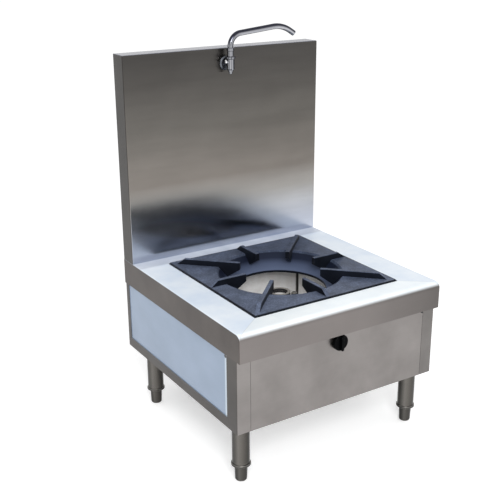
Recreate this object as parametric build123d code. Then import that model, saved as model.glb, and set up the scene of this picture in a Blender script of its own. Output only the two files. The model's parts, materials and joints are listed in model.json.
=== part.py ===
from build123d import *
import os
from math import cos, radians, sin, sqrt

# Stockpot stove, in millimetres. Z is up and the feet stand on Z = 0.
# X runs to the right and Y to the rear, from the middle of the plan.

# Overall sizes
width = 700.0
depth = 700.0
worktop_height = 480.0
splash_height = 1125.0
body_bottom = 180.0
splash_depth = 65.0

# Sheet thicknesses
worktop_sheet = 1.5
splash_sheet = 1.5
cover_sheet = 1.2
post_sheet = 2.0
rail_sheet = 2.0
panel_sheet = 1.2
front_panel_sheet = 1.5
liner_sheet = 1.5
tray_sheet = 1.2

# Clearances
weld_gap = 0.2
seat_gap = 0.2
lift_gap = 0.3
running_gap = 0.05
hole_gap = 1.5

# How far joined forms run into each other, and cuts run past a face
bite = 1.0

# Worktop: bullnose front, aprons on four sides, joggled ledge for the pan support
apron_height = 80.0
nose_radius = 18.0
side_bend_radius = 2.5
front_overhang = 18.0
ledge_width = 20.0
plate_side_gap = 2.0

# Splashback shell and its cover
splash_bend_radius = 2.5
splash_flange = 20.0
cover_inset = 2.0
screw_head_radius = 4.5
screw_head_height = 1.8
screw_head_bevel = 1.1
screw_radius = 2.0
screw_length = 6.0
cover_screw_rows = 4

# Corner posts and rails
post_front_width = 43.0
post_side_width = 52.0
rear_post_side_width = 20.0
rear_post_rear_width = 24.0
post_bend_radius = 2.0
bottom_rail_height = 32.0
bottom_rail_flange = 16.5
upper_rail_height = 38.0
upper_rail_flange = 30.0
upper_rail_drop = 42.0
support_rail_sheet = 3.0
support_rail_flange = 30.0

# Panels
panel_flange = 12.0
panel_overlap = 18.0
rear_panel_overlap = 12.0
panel_bottom_overlap = 17.0
panel_top_overlap = 36.0
front_panel_top_overlap = 60.0
front_panel_seam = 0.8
front_flange_margin = 36.0
notch_width = 7.0
notch_height = 14.0
rear_screw_rise = 30.0
rear_screw_drop = 60.0

# Pan support: cast plate with a bowl and eight ribs
plate_front_margin = 80.0
plate_rear_margin = 55.0
plate_proud = 4.0
plate_thickness = 10.0
plate_corner_radius = 4.0
plate_edge_bevel = 1.5
bowl_margin = 62.0
bowl_rim_round = 5.0
bowl_taper = 45.0
bowl_depth = 59.0
bowl_lip = 7.0
bowl_wall = 7.0
rib_height = 18.0
rib_width = 12.0
rib_reach = 18.0
rib_tip_height = 23.0
rib_root_depth = 30.0
corner_rib_margin = 28.5
side_rib_margin = 6.0
rib_ramp = 24.0
rib_top_bevel = 1.2

# Firebox
liner_below_burner = 43.0
liner_flange = 15.0
tray_edge = 20.0
tray_hole_radius = 75.0
tray_lip = 6.0

# Burner casting: ring, centre head and the ring cap
burner_ring_radius = 82.0
burner_ring_height = 71.0
burner_wall = 6.0
burner_centre_radius = 20.0
ring_foot_taper = 22.0
ring_foot_height = 20.0
ring_crown_bevel = 6.0
ring_crown_drop = 8.0
ring_land_width = 20.0
ring_inner_taper = 8.0
ring_deck_drop = 16.0
head_outer_radius = 33.0
head_inner_radius = 24.0
head_rise = 108.0
head_depth = 7.0
head_wall = 2.0
riser_radius = 7.0
riser_wall = 3.5
cap_height = 8.0
cap_bevel = 1.5
cap_slots = 12
cap_slot_depth = 3.0
cap_slot_width = 3.0
cap_slot_height = 3.0
cap_lip = 3.0
port_count = 24
port_radius = 2.5

# Mixing tube and its mouth
mixing_tube_radius = 22.0
mixing_tube_wall = 5.0
mixing_tube_rise = 33.0
mouth_radius = 30.0
mouth_plate = 3.0
mouth_standoff = 14.5
mouth_length = 12.0
air_hole_radius = 6.5
air_hole_circle = 18.0
air_holes = 3

# Ears, cross bars and bolts
ear_radius = 13.0
ear_thickness = 8.0
ear_x = 78.0
cross_bar_width = 30.0
cross_bar_thickness = 5.0
cross_bar_distance = 90.0
cross_bar_end = 18.0
burner_bolt_radius = 4.0
burner_bolt_reach = 12.0
bolt_head_radius = 6.5
bolt_head_height = 5.0

# Air shutter, injector and its holder
shutter_thickness = 2.0
shutter_tab = 8.0
shutter_tab_width = 10.0
injector_radius = 5.0
injector_hex_radius = 7.5
injector_hex_length = 6.0
injector_tip_bevel = 1.5
injector_bore = 0.9
holder_gap = 4.0
holder_size = 22.0
holder_depth = 20.0
holder_round = 3.0
holder_bore_radius = 2.7

# Gas valve, stem and knob
knob_x = -12.0
knob_drop = 26.0
knob_radius = 24.0
knob_wall = 3.0
knob_hub_radius = 8.0
knob_skirt = 9.5
knob_gap = 4.5
grip_width = 9.0
grip_length = 46.0
grip_depth = 9.0
grip_taper = 1.5
knob_bevel = 1.2
stem_radius = 4.0
stem_flat = 2.6
stem_end_gap = 5.5
stem_hole_radius = 8.0
valve_rise = 46.0
valve_radius = 15.0
valve_length = 38.0
valve_flange_radius = 20.0
valve_flange = 4.0
plug_radius = 8.0
plug_length = 26.0
valve_boss_radius = 13.5
valve_boss_length = 26.0
valve_boss_setback = 23.5
outlet_boss_radius = 9.0
outlet_boss_drop = 22.0
outlet_pipe_radius = 5.0
outlet_pipe_wall = 1.5
pilot_boss_radius = 6.0
pilot_boss_rise = 19.0

# Pilot burner, beside the centre head
pilot_angle = -33.5
pilot_clearance = 2.4
pilot_tube_radius = 3.0
pilot_head_radius = 9.0
pilot_head_height = 13.0
pilot_head_bevel = 1.5
pilot_port_radius = 6.0
pilot_port_depth = 3.0
pilot_drop = 4.0
pilot_run_drop = 27.0
pilot_bend = 7.0
pilot_jog = 10.0
pilot_wall_gap = 8.0

# Gas supply pipe, half-inch, with a male union at the rear
gas_pipe_radius = 10.65
gas_pipe_bore = 8.0
gas_pipe_standoff = 27.0
gas_pipe_bend = 42.0
thread_radius = 10.48
thread_bevel = 1.0
gas_thread_length = 17.0
gas_thread_recess = 1.4
gas_union_bore = 7.0
union_hex_radius = 15.0
union_hex_length = 10.0
gas_access_radius = 20.0
clip_width = 14.0
clip_sheet = 2.0
clip_distance = 300.0

# Water pipe and tap
water_pipe_radius = 7.5
water_pipe_bore = 6.0
water_pipe_setback = 29.0
water_inlet_rise = 8.0
water_thread_length = 16.0
tap_reach = 28.0
tap_drop = 47.0
tap_body_drop = 18.0
tap_body_radius = 12.5
tap_body_bevel = 2.0
tap_flange_radius = 16.5
tap_flange_rise = 18.0
tap_flange_thickness = 4.5
tap_neck_radius = 10.2
tap_neck_rise = 39.0
tap_tail_radius = 10.3
tap_tail_wall = 3.0
tap_tail_end = 5.0
tap_boss_radius = 10.8
tap_boss_end = 13.3
gland_radius = 11.8
gland_height = 10.5
gland_bevel = 1.2
lock_nut_thickness = 6.0
lock_nut_hex_radius = 17.0
rosette_radius = 22.0
rosette_thickness = 5.0
rosette_bevel = 3.5
elbow_radius = 11.5
elbow_rise = 13.0
elbow_bevel = 4.0
plug_cap_radius = 6.0
plug_cap_length = 4.5
side_boss_radius = 7.0
side_boss_length = 2.5
side_boss_rise = 8.0
bottom_cap_radius = 9.0
bottom_cap_rim = 4.0
bottom_cap_length = 12.0
bottom_cap_step = 3.0

# Swivel spout
spout_radius = 9.0
spout_wall = 1.4
spout_stem_radius = 7.5
spout_stem_bore = 5.5
spout_stem_length = 36.0
spout_plug_length = 6.0
spout_rise = 38.0
spout_run = 191.0
spout_run_rise = 19.5
spout_tip_run = 45.0
spout_tip_drop = 28.0
spout_base_bend = 40.0
spout_tip_bend = 100.0

# Legs and feet
leg_inset_x = 45.0
leg_front_inset = 71.0
leg_rear_inset = 99.0
leg_radius = 25.5
leg_wall = 1.5
leg_plate_thickness = 4.0
leg_plate_width = 90.0
leg_plate_depth = 125.0
insert_flange_radius = 28.5
insert_flange = 7.0
insert_bevel = 1.2
insert_depth = 16.0
foot_height = 50.0
foot_top_radius = 19.0
foot_bottom_radius = 17.3
foot_round = 5.0
foot_top_bevel = 1.5
foot_stud_radius = 6.0
foot_stud_length = 36.0

# Places of the body that follow from the sizes above
half_width = width / 2
front_y = -depth / 2
rear_y = depth / 2
apron_bottom = worktop_height - apron_height
body_side = half_width - worktop_sheet - lift_gap
body_front = front_y + front_overhang
body_rear = rear_y - worktop_sheet - lift_gap
post_side_inner = body_side - post_sheet
post_front_inner = body_front + post_sheet
post_rear_inner = body_rear - post_sheet
splash_front = rear_y - splash_depth
cover_rear = rear_y - cover_inset
shell_rear = cover_rear - cover_sheet - weld_gap / 2

# Places round the pan support and the firebox
plate_size = depth - splash_depth - plate_front_margin - plate_rear_margin
plate_centre_y = front_y + plate_front_margin + plate_size / 2
plate_top = worktop_height + plate_proud
plate_bottom = plate_top - plate_thickness
bowl_rim_radius = plate_size / 2 - bowl_margin
bowl_mouth_radius = bowl_rim_radius - bowl_taper
rib_inner_radius = bowl_mouth_radius - rib_reach
side_rib_radius = plate_size / 2 - side_rib_margin
corner_rib_radius = plate_size / 2 * sqrt(2) - corner_rib_margin
rib_top = plate_top + rib_height
ledge_top = plate_bottom - seat_gap
ledge_bottom = ledge_top - worktop_sheet
cut_out_half = plate_size / 2 + plate_side_gap
opening_half = cut_out_half - ledge_width
liner_half = opening_half + liner_sheet
liner_top = ledge_bottom - lift_gap
liner_front = plate_centre_y - liner_half
liner_rear = plate_centre_y + liner_half

# Places of the rails and panels
upper_rail_bottom = worktop_height - upper_rail_drop
upper_rail_top = upper_rail_bottom + upper_rail_height
support_rail_bottom = upper_rail_bottom + rail_sheet + weld_gap
support_rail_top = ledge_bottom - lift_gap
rail_outer = post_side_inner - weld_gap
rail_front = post_front_inner + weld_gap
rail_rear = post_rear_inner - weld_gap
front_panel_half = body_side - post_front_width - front_panel_seam

# Heights of the knob and the burner, each from the one above it
knob_z = apron_bottom - knob_drop
mixing_tube_height = knob_z - valve_rise
burner_base_height = mixing_tube_height - mixing_tube_rise
liner_bottom = burner_base_height - liner_below_burner
ring_top = burner_base_height + burner_ring_height
ring_deck = ring_top - ring_deck_drop
head_bottom = burner_base_height + head_rise
head_seat = head_bottom + head_depth
cap_top = head_seat + cap_height
pilot_top = cap_top - pilot_drop
pilot_run_height = pilot_top - pilot_run_drop

# Places of the gas line
valve_front = body_front + front_panel_sheet + weld_gap
valve_middle_y = valve_front + valve_boss_setback
knob_back = body_front - knob_gap
mouth_front = liner_front - mouth_standoff
shutter_rear = mouth_front - lift_gap
holder_rear = shutter_rear - shutter_thickness - injector_hex_length - holder_gap
outlet_place = (knob_x, holder_rear - holder_depth / 2)
pilot_distance = head_outer_radius + pilot_head_radius + pilot_clearance
pilot_x = pilot_distance * cos(radians(pilot_angle))
pilot_y = plate_centre_y + pilot_distance * sin(radians(pilot_angle))
gas_pipe_x = liner_half + gas_pipe_standoff
gas_pipe_end = rear_y - cover_inset - gas_thread_recess - gas_thread_length - union_hex_length

# Places of the tap and its water pipe
water_pipe_y = splash_front + water_pipe_setback
water_inlet_bottom = body_bottom + water_inlet_rise
tap_y = splash_front - tap_reach
tap_tail_height = splash_height - tap_drop
tap_tail_rear = splash_front + splash_sheet + lock_nut_thickness + tap_tail_end
tap_body_bottom = tap_tail_height - tap_body_drop
tap_flange_bottom = tap_tail_height + tap_flange_rise
tap_flange_top = tap_flange_bottom + tap_flange_thickness
tap_neck_top = tap_tail_height + tap_neck_rise
gland_bottom = tap_neck_top + weld_gap
gland_top = gland_bottom + gland_height
spout_bottom = gland_top + lift_gap

# Places of the legs
leg_x = half_width - leg_inset_x
leg_front_y = front_y + leg_front_inset
leg_rear_y = rear_y - leg_rear_inset
leg_plate_top = body_bottom + rail_sheet + weld_gap + leg_plate_thickness
leg_top = leg_plate_top - leg_plate_thickness
tube_bottom = foot_height + insert_flange

os.makedirs("parts", exist_ok=True)


def save(name, *shapes):
    """Write one named piece, or a set of like pieces, to its own file."""
    solids = []
    for shape in shapes:
        solids.extend(shape.solids())
    export_step(Compound(children=solids) if len(solids) > 1 else solids[0], f"parts/{name}.step")


def block(x, y, z):
    """A block between two values on each axis."""
    middle = ((x[0] + x[1]) / 2, (y[0] + y[1]) / 2, (z[0] + z[1]) / 2)
    return Pos(*middle) * Box(abs(x[1] - x[0]), abs(y[1] - y[0]), abs(z[1] - z[0]))


def disc(radius, z, at=(0, 0)):
    """An upright cylinder between two heights."""
    return Pos(at[0], at[1], (z[0] + z[1]) / 2) * Cylinder(radius, z[1] - z[0])


def disc_along_y(radius, y, at):
    """A cylinder that lies along Y, at the given X and Z."""
    return Pos(at[0], (y[0] + y[1]) / 2, at[1]) * Rot(90, 0, 0) * Cylinder(radius, y[1] - y[0])


def disc_along_x(radius, x, at):
    """A cylinder that lies along X, at the given Y and Z."""
    return Pos((x[0] + x[1]) / 2, at[0], at[1]) * Rot(0, 90, 0) * Cylinder(radius, x[1] - x[0])


def hexagon_along_y(radius, y, at):
    """A hexagonal bar that lies along Y, with the given corner radius."""
    face = Plane(origin=(at[0], y[0], at[1]), x_dir=(1, 0, 0), z_dir=(0, 1, 0)) * RegularPolygon(radius, 6)
    return extrude(face, y[1] - y[0])


def revolved(points, at=(0, 0)):
    """A solid turned about an upright axis from radius and height pairs."""
    outline = make_face(Polyline(*[(radius, 0, z) for radius, z in points], close=True))
    return Pos(at[0], at[1], 0) * revolve(outline, Axis.Z)


def pipe(points, bend, radius, bore=0.0):
    """A round pipe of straight runs and tangent bends."""
    path = FilletPolyline(*points, radius=bend)
    section = Plane(origin=path @ 0, z_dir=path % 0)
    solid = sweep(section * Circle(radius), path)
    if bore > 0:
        solid = solid - sweep(section * Circle(bore), path)
    return solid


def tray_profile(inset, floor):
    """The worktop's side view, inset by the sheet, with the round front nose."""
    radius = nose_radius - inset
    front = front_y + inset
    rear = rear_y - inset
    top = worktop_height - inset
    slack = radius * (1 - cos(radians(45)))
    bend_middle = (0, front + slack, top - slack)
    lines = [
        Line((0, front, floor), (0, front, top - radius)),
        ThreePointArc((0, front, top - radius), bend_middle, (0, front + radius, top)),
        Line((0, front + radius, top), (0, rear, top)),
        Line((0, rear, top), (0, rear, floor)),
        Line((0, rear, floor), (0, front, floor)),
    ]
    return make_face(Wire(lines))


def tray_block(inset, floor, bend):
    """The worktop's outer or inner form, with its side bends rounded."""
    half = half_width - inset
    face = tray_profile(inset, floor)
    solid = extrude(face, half, dir=(1, 0, 0)) + extrude(face, half, dir=(-1, 0, 0))
    top = worktop_height - inset
    rear = rear_y - inset
    sides = [edge for edge in solid.edges() if abs(abs(edge.center().X) - half) < 0.01]
    sides = [edge for edge in sides if edge.center().Z > floor + bite and edge.length > bend * 4]
    sides = [edge for edge in sides if edge.center().Y < rear - bite or edge.center().Z > top - 0.01]
    return fillet(sides, bend)


def square(half, z):
    """A square block about the pan support's middle, between two heights."""
    return block((-half, half), (plate_centre_y - half, plate_centre_y + half), z)


def make_worktop():
    """Folded top sheet: bullnose, four aprons, front hem and the joggled ledge."""
    outer = tray_block(0, apron_bottom, side_bend_radius)
    inner = tray_block(worktop_sheet, apron_bottom - bite, side_bend_radius - worktop_sheet)
    hem_half = half_width - worktop_sheet
    hem = block(
        (-hem_half, hem_half),
        (front_y + worktop_sheet / 2, body_front - lift_gap),
        (apron_bottom, apron_bottom + worktop_sheet),
    )
    joggle = square(cut_out_half + worktop_sheet, (ledge_bottom, worktop_height))
    recess = square(cut_out_half, (ledge_top, worktop_height + bite))
    opening = square(opening_half, (ledge_bottom - bite, worktop_height))
    hole_z = (worktop_height - worktop_sheet - bite, worktop_height + bite)
    pipe_hole = disc(water_pipe_radius + hole_gap, hole_z, (0, water_pipe_y))
    return outer - inner + hem + joggle - recess - opening - pipe_hole


def splash_block(inset, bottom, rear):
    """The splashback's outer or inner form, with the front sheet's bends rounded."""
    half = half_width - inset
    top = splash_height - inset
    solid = block((-half, half), (splash_front + inset, rear), (bottom, top))
    front = solid.faces().sort_by(Axis.Y)[0]
    bends = [edge for edge in front.edges() if edge.center().Z > bottom + bite]
    corners = [edge for edge in solid.edges().filter_by(Axis.Y) if edge.center().Z > top - 0.01]
    return fillet(bends + corners, splash_bend_radius - inset)


def make_splash_shell():
    """Folded splashback: front, sides and top, with return flanges at the rear."""
    outer = splash_block(0, worktop_height, shell_rear)
    inner = splash_block(splash_sheet, worktop_height - bite, shell_rear + bite)
    half = half_width - splash_sheet
    flange_front = shell_rear - splash_sheet
    flange_plate = block(
        (-half - splash_sheet / 2, half + splash_sheet / 2),
        (flange_front, shell_rear),
        (worktop_height, splash_height - splash_sheet / 2),
    )
    window = block(
        (-half + splash_flange, half - splash_flange),
        (flange_front - bite, shell_rear + bite),
        (worktop_height + splash_flange, splash_height - splash_sheet - splash_flange),
    )
    tap_hole = disc_along_y(
        tap_tail_radius + hole_gap / 3,
        (splash_front - bite, splash_front + splash_sheet + bite),
        (0, tap_tail_height),
    )
    screw_holes = [
        disc_along_y(screw_radius + weld_gap, (flange_front - bite, shell_rear + bite), at)
        for at in cover_screw_places()
    ]
    return outer - inner + (flange_plate - window) - tap_hole - screw_holes


def cover_screw_places():
    """X and Z of the screws that hold the splashback's rear cover."""
    side = half_width - splash_flange / 2 - splash_sheet
    low = worktop_height + splash_flange / 2
    high = splash_height - splash_flange / 2 - splash_sheet
    step = (high - low) / (cover_screw_rows - 1)
    return [(x, low + step * row) for x in (-side, side) for row in range(cover_screw_rows)]


def make_splash_cover():
    """Flat sheet that closes the splashback from behind."""
    front = cover_rear - cover_sheet
    sheet = block((-half_width, half_width), (front, cover_rear), (worktop_height + seat_gap, splash_height))
    holes = [
        disc_along_y(screw_radius + weld_gap, (front - bite, cover_rear + bite), at)
        for at in cover_screw_places()
    ]
    return sheet - holes


def screw(x, z, seat):
    """A round-headed sheet screw that enters towards the front."""
    head = disc_along_y(screw_head_radius, (seat, seat + screw_head_height), (x, z))
    head = chamfer(head.faces().sort_by(Axis.Y)[-1].edges(), screw_head_bevel)
    return head + disc_along_y(screw_radius, (seat - screw_length, seat), (x, z))


def angle_post(x_outer, y_outer, x_width, y_width):
    """An upright corner post, folded from sheet, between the body's bottom and the worktop."""
    inward_x = -1 if x_outer > 0 else 1
    inward_y = -1 if y_outer > 0 else 1
    height = (body_bottom, worktop_height - worktop_sheet - lift_gap)
    x_leg = block((x_outer, x_outer + inward_x * x_width), (y_outer, y_outer + inward_y * post_sheet), height)
    y_leg = block((x_outer, x_outer + inward_x * post_sheet), (y_outer, y_outer + inward_y * y_width), height)
    post = x_leg + y_leg
    upright = post.edges().filter_by(Axis.Z)
    corner = [edge for edge in upright if abs(edge.center().X - x_outer) < 0.01]
    corner = [edge for edge in corner if abs(edge.center().Y - y_outer) < 0.01]
    return fillet(corner, post_bend_radius)


def make_front_post(side):
    """Front corner post, the same at both sides of the front panel."""
    return angle_post(side * body_side, body_front, post_front_width, post_side_width)


def make_rear_post(side):
    """Rear corner post, with the holes of the rear panel's screws."""
    post = angle_post(side * body_side, body_rear, rear_post_rear_width, rear_post_side_width)
    holes = [
        disc_along_y(screw_radius + weld_gap, (post_rear_inner - bite, body_rear + bite), at)
        for at in rear_screw_places()
        if at[0] * side > 0
    ]
    return post - holes


def make_side_bottom_rail(side):
    """Bottom rail between the posts, flush with them, flange inwards."""
    outer = side * body_side
    flange_z = (body_bottom, body_bottom + rail_sheet)
    y_span = (body_front + post_side_width + weld_gap, body_rear - rear_post_side_width - weld_gap)
    web = block((outer, outer - side * rail_sheet), y_span, (body_bottom, body_bottom + bottom_rail_height))
    return web + block((outer, outer - side * bottom_rail_flange), y_span, flange_z)


def make_front_bottom_rail():
    """Bottom rail behind the front panel, from post to post."""
    x_span = (-rail_outer, rail_outer)
    web_z = (body_bottom, body_bottom + bottom_rail_height)
    flange_z = (body_bottom, body_bottom + rail_sheet)
    web = block(x_span, (rail_front, rail_front + rail_sheet), web_z)
    return web + block(x_span, (rail_front, rail_front + bottom_rail_flange), flange_z)


def make_rear_bottom_rail():
    """Bottom rail between the rear posts."""
    half = body_side - rear_post_rear_width - weld_gap
    x_span = (-half, half)
    web_z = (body_bottom, body_bottom + bottom_rail_height)
    flange_z = (body_bottom, body_bottom + rail_sheet)
    web = block(x_span, (body_rear - rail_sheet, body_rear), web_z)
    return web + block(x_span, (body_rear - bottom_rail_flange, body_rear), flange_z)


def make_side_upper_rail(side):
    """Upper rail under the worktop's side apron; the support rails rest on its flange."""
    outer = side * rail_outer
    y_span = (rail_front, rail_rear)
    flange_z = (upper_rail_bottom, upper_rail_bottom + rail_sheet)
    web = block((outer, outer - side * rail_sheet), y_span, (upper_rail_bottom, upper_rail_top))
    return web + block((outer, outer - side * upper_rail_flange), y_span, flange_z)


def make_cross_upper_rail(y_outer, inward):
    """Upper rail at the front or rear, between the side rails."""
    half = rail_outer - upper_rail_flange - weld_gap
    x_span = (-half, half)
    flange_z = (upper_rail_bottom, upper_rail_bottom + rail_sheet)
    web = block(x_span, (y_outer, y_outer + inward * rail_sheet), (upper_rail_bottom, upper_rail_top))
    flange = block(x_span, (y_outer, y_outer + inward * upper_rail_flange), flange_z)
    hole = disc(water_pipe_radius + hole_gap, (flange_z[0] - bite, flange_z[1] + bite), (0, water_pipe_y))
    return web + flange - hole


def make_cross_support_rail(direction):
    """Angle under the ledge, across the stove, that carries the pan support's weight."""
    half = rail_outer - rail_sheet - weld_gap
    x_span = (-half, half)
    near = plate_centre_y + direction * (liner_half + weld_gap)
    web_z = (support_rail_bottom, support_rail_top)
    flange_z = (support_rail_top - support_rail_sheet, support_rail_top)
    web = block(x_span, (near, near + direction * support_rail_sheet), web_z)
    return web + block(x_span, (near, near + direction * support_rail_flange), flange_z)


def make_side_support_rail(side):
    """Angle under the ledge beside the firebox, between the two cross rails."""
    near = side * (liner_half + weld_gap)
    y_span = (liner_front, liner_rear)
    flange_z = (support_rail_top - support_rail_sheet, support_rail_top)
    web = block((near, near + side * support_rail_sheet), y_span, (support_rail_bottom, support_rail_top))
    return web + block((near, near + side * support_rail_flange), y_span, flange_z)


def make_side_panel(side):
    """Side sheet tucked behind the posts and rail, with its edges folded inwards."""
    outer = side * (post_side_inner - weld_gap)
    front = body_front + post_side_width - panel_overlap
    rear = body_rear - rear_post_side_width + rear_panel_overlap
    bottom = body_bottom + bottom_rail_height - panel_bottom_overlap
    top = apron_bottom + panel_top_overlap
    whole = block((outer, outer - side * panel_flange), (front, rear), (bottom, top))
    hollow = block(
        (outer - side * panel_sheet, outer - side * (panel_flange + bite)),
        (front + panel_sheet, rear - panel_sheet),
        (bottom + panel_sheet, top - panel_sheet),
    )
    return whole - hollow


def make_front_panel():
    """Front sheet between the posts, with the knob's hole and a corner notch under the apron."""
    half = front_panel_half
    top = apron_bottom + front_panel_top_overlap
    sheet = block((-half, half), (body_front, body_front + front_panel_sheet), (body_bottom, top))
    flange_y = (body_front, body_front + panel_flange)
    flange_z = (body_bottom + front_flange_margin, upper_rail_bottom - seat_gap - front_flange_margin / 2)
    inner = half - front_panel_sheet
    flanges = [block((side * half, side * inner), flange_y, flange_z) for side in (-1, 1)]
    notch = block(
        (half - notch_width, half + bite),
        (body_front - bite, body_front + panel_flange + bite),
        (apron_bottom - notch_height, top + bite),
    )
    hole_y = (body_front - bite, body_front + front_panel_sheet + bite)
    return sheet + flanges - notch - disc_along_y(stem_hole_radius, hole_y, (knob_x, knob_z))


def rear_panel_size():
    """Half width and Z span of the rear panel."""
    half = body_side - rear_post_rear_width + panel_overlap
    return half, (body_bottom + bottom_rail_height - panel_bottom_overlap, apron_bottom + panel_top_overlap)


def rear_screw_places():
    """X and Z of the screws that hold the rear panel."""
    half, z_span = rear_panel_size()
    side = half - panel_overlap / 2
    low = body_bottom + bottom_rail_height + rear_screw_rise
    high = z_span[1] - rear_screw_drop
    return [(x, z) for x in (-side, side) for z in (low, high)]


def make_rear_panel():
    """Rear sheet of the body, tucked behind the posts, with access to the gas inlet."""
    half, z_span = rear_panel_size()
    rear = post_rear_inner - weld_gap
    sheet = block((-half, half), (rear - panel_sheet, rear), z_span)
    cut_y = (rear - panel_sheet - bite, rear + bite)
    access = disc_along_y(gas_access_radius, cut_y, (gas_pipe_x, knob_z))
    holes = [disc_along_y(screw_radius + weld_gap, cut_y, at) for at in rear_screw_places()]
    return sheet - access - holes


def rib(outer_radius, angle):
    """One pan rib: a ramp at its outer end, a level top, and a foot down into the bowl."""
    root = plate_top - rib_root_depth
    lip_top = plate_top - bowl_depth + bowl_lip
    foot_radius = bowl_mouth_radius + (root - lip_top) * bowl_slope() + bowl_wall / 2
    outline = [
        (outer_radius, plate_top - plate_thickness / 2),
        (outer_radius, plate_top),
        (outer_radius - rib_ramp, rib_top),
        (rib_inner_radius, rib_top),
        (rib_inner_radius, rib_top - rib_tip_height),
        (foot_radius, root),
        (bowl_rim_radius + bowl_wall, plate_top - plate_thickness / 2),
    ]
    face = make_face(Polyline(*[(radius, 0, z) for radius, z in outline], close=True))
    web = extrude(face, rib_width / 2, both=True)
    crest = [edge for edge in web.edges() if abs(edge.center().Z - rib_top) < 0.01]
    web = chamfer([edge for edge in crest if edge.length > rib_width + bite], rib_top_bevel)
    return Pos(0, plate_centre_y, 0) * Rot(0, 0, angle) * web


def bowl_slope():
    """Radius gained for each millimetre of height on the bowl's wall."""
    return (bowl_rim_radius - bowl_mouth_radius) / (bowl_depth - bowl_lip)


def make_pan_support():
    """Cast square plate, sunk to a bowl round the flame, with four long and four short ribs."""
    centre = (0, plate_centre_y)
    plate = square(plate_size / 2, (plate_bottom, plate_top))
    plate = fillet(plate.edges().filter_by(Axis.Z), plate_corner_radius)
    plate = chamfer(plate.faces().sort_by(Axis.Z)[-1].edges(), plate_edge_bevel)
    mouth_z = plate_top - bowl_depth
    rim_inner = bowl_rim_radius + bowl_rim_round
    rim_outer = bowl_rim_radius + 2 * bowl_wall
    wall_outline = [
        (rim_inner, plate_top),
        (bowl_rim_radius, plate_top - bowl_rim_round),
        (bowl_mouth_radius, mouth_z + bowl_lip),
        (bowl_mouth_radius, mouth_z),
        (bowl_mouth_radius + bowl_wall, mouth_z),
        (bowl_mouth_radius + bowl_wall, mouth_z + bowl_lip),
        (bowl_rim_radius + bowl_wall, plate_bottom),
        (rim_outer, plate_bottom),
        (rim_outer, plate_top),
    ]
    hollow_outline = [
        (0, plate_top + bite),
        (rim_inner + bite, plate_top + bite),
        (rim_inner, plate_top),
        (bowl_rim_radius, plate_top - bowl_rim_round),
        (bowl_rim_radius, plate_bottom - bite),
        (0, plate_bottom - bite),
    ]
    support = plate - revolved(hollow_outline, centre) + revolved(wall_outline, centre)
    for index in range(8):
        outer = corner_rib_radius if index % 2 else side_rib_radius
        support = support + rib(outer, index * 45)
    return support


def make_liner():
    """Square firebox wall, open at the top, with a return flange that carries the spill tray."""
    outer = square(liner_half, (liner_bottom, liner_top))
    inner_half = liner_half - liner_sheet
    inner = square(inner_half, (liner_bottom + liner_sheet, liner_top + bite))
    floor_hole = square(inner_half - liner_flange, (liner_bottom - bite, liner_bottom + liner_sheet + bite))
    wall_y = (liner_front - bite, liner_front + liner_sheet + bite)
    tube_hole = disc_along_y(mixing_tube_radius + hole_gap, wall_y, (0, mixing_tube_height))
    pilot_hole = disc_along_y(pilot_tube_radius + hole_gap, wall_y, (pilot_x, pilot_run_height))
    return outer - inner - floor_hole - tube_hole - pilot_hole


def make_spill_tray():
    """Shallow tray on the liner's flange, open in the middle for the burner's air."""
    half = liner_half - liner_sheet - lift_gap
    bottom = liner_bottom + liner_sheet + seat_gap
    outer = square(half, (bottom, bottom + tray_edge))
    inner = square(half - tray_sheet, (bottom + tray_sheet, bottom + tray_edge + bite))
    lip = disc(tray_hole_radius + tray_sheet, (bottom, bottom + tray_lip), (0, plate_centre_y))
    hole = disc(tray_hole_radius, (bottom - bite, bottom + tray_lip + bite), (0, plate_centre_y))
    return outer - inner + lip - hole


def cross_bar_places():
    """Y of the two bars that carry the burner."""
    return [plate_centre_y - cross_bar_distance / 2, plate_centre_y + cross_bar_distance / 2]


def ear_places():
    """X and Y of the two burner bolts, one on each bar."""
    near, far = cross_bar_places()
    return [(ear_x, near), (-ear_x, far)]


def make_cross_bar(y):
    """Flat bar across the firebox with its ends turned down against the walls."""
    half = opening_half - seat_gap
    top = burner_base_height - seat_gap
    y_span = (y - cross_bar_width / 2, y + cross_bar_width / 2)
    end_z = (top - cross_bar_end, top)
    bar = block((-half, half), y_span, (top - cross_bar_thickness, top))
    ends = [block((side * half, side * (half - cross_bar_thickness)), y_span, end_z) for side in (-1, 1)]
    hole_z = (top - cross_bar_thickness - bite, top + bite)
    holes = [disc(burner_bolt_radius + weld_gap, hole_z, at) for at in ear_places() if at[1] == y]
    return bar + ends - holes


def riser_places():
    """X and Y of the two hollow risers that carry the centre head."""
    middle = (head_outer_radius + head_inner_radius) / 2
    return [(-middle, plate_centre_y), (middle, plate_centre_y)]


def burner_ring():
    """Hollow ring of the burner casting, open in the middle for air, as its outside and its cavity."""
    base = burner_base_height
    ring = burner_ring_radius
    wall = burner_wall
    hole = burner_centre_radius
    land_outer = ring - ring_crown_bevel
    land_inner = land_outer - ring_land_width
    deck_outer = land_inner - ring_inner_taper
    outside = [
        (hole, base),
        (ring - ring_foot_taper, base),
        (ring, base + ring_foot_height),
        (ring, ring_top - ring_crown_drop),
        (land_outer, ring_top),
        (land_inner, ring_top),
        (deck_outer, ring_deck),
        (hole, ring_deck),
    ]
    cavity = [
        (hole + wall, base + wall),
        (ring - ring_foot_taper - wall / 2, base + wall),
        (ring - wall, base + ring_foot_height + wall / 3),
        (ring - wall, ring_top - ring_crown_drop - wall / 3),
        (land_inner + wall / 3, ring_top - wall),
        (deck_outer + wall / 2, ring_deck - wall),
        (hole + wall, ring_deck - wall),
    ]
    centre = (0, plate_centre_y)
    return revolved(outside, centre), revolved(cavity, centre)


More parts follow.
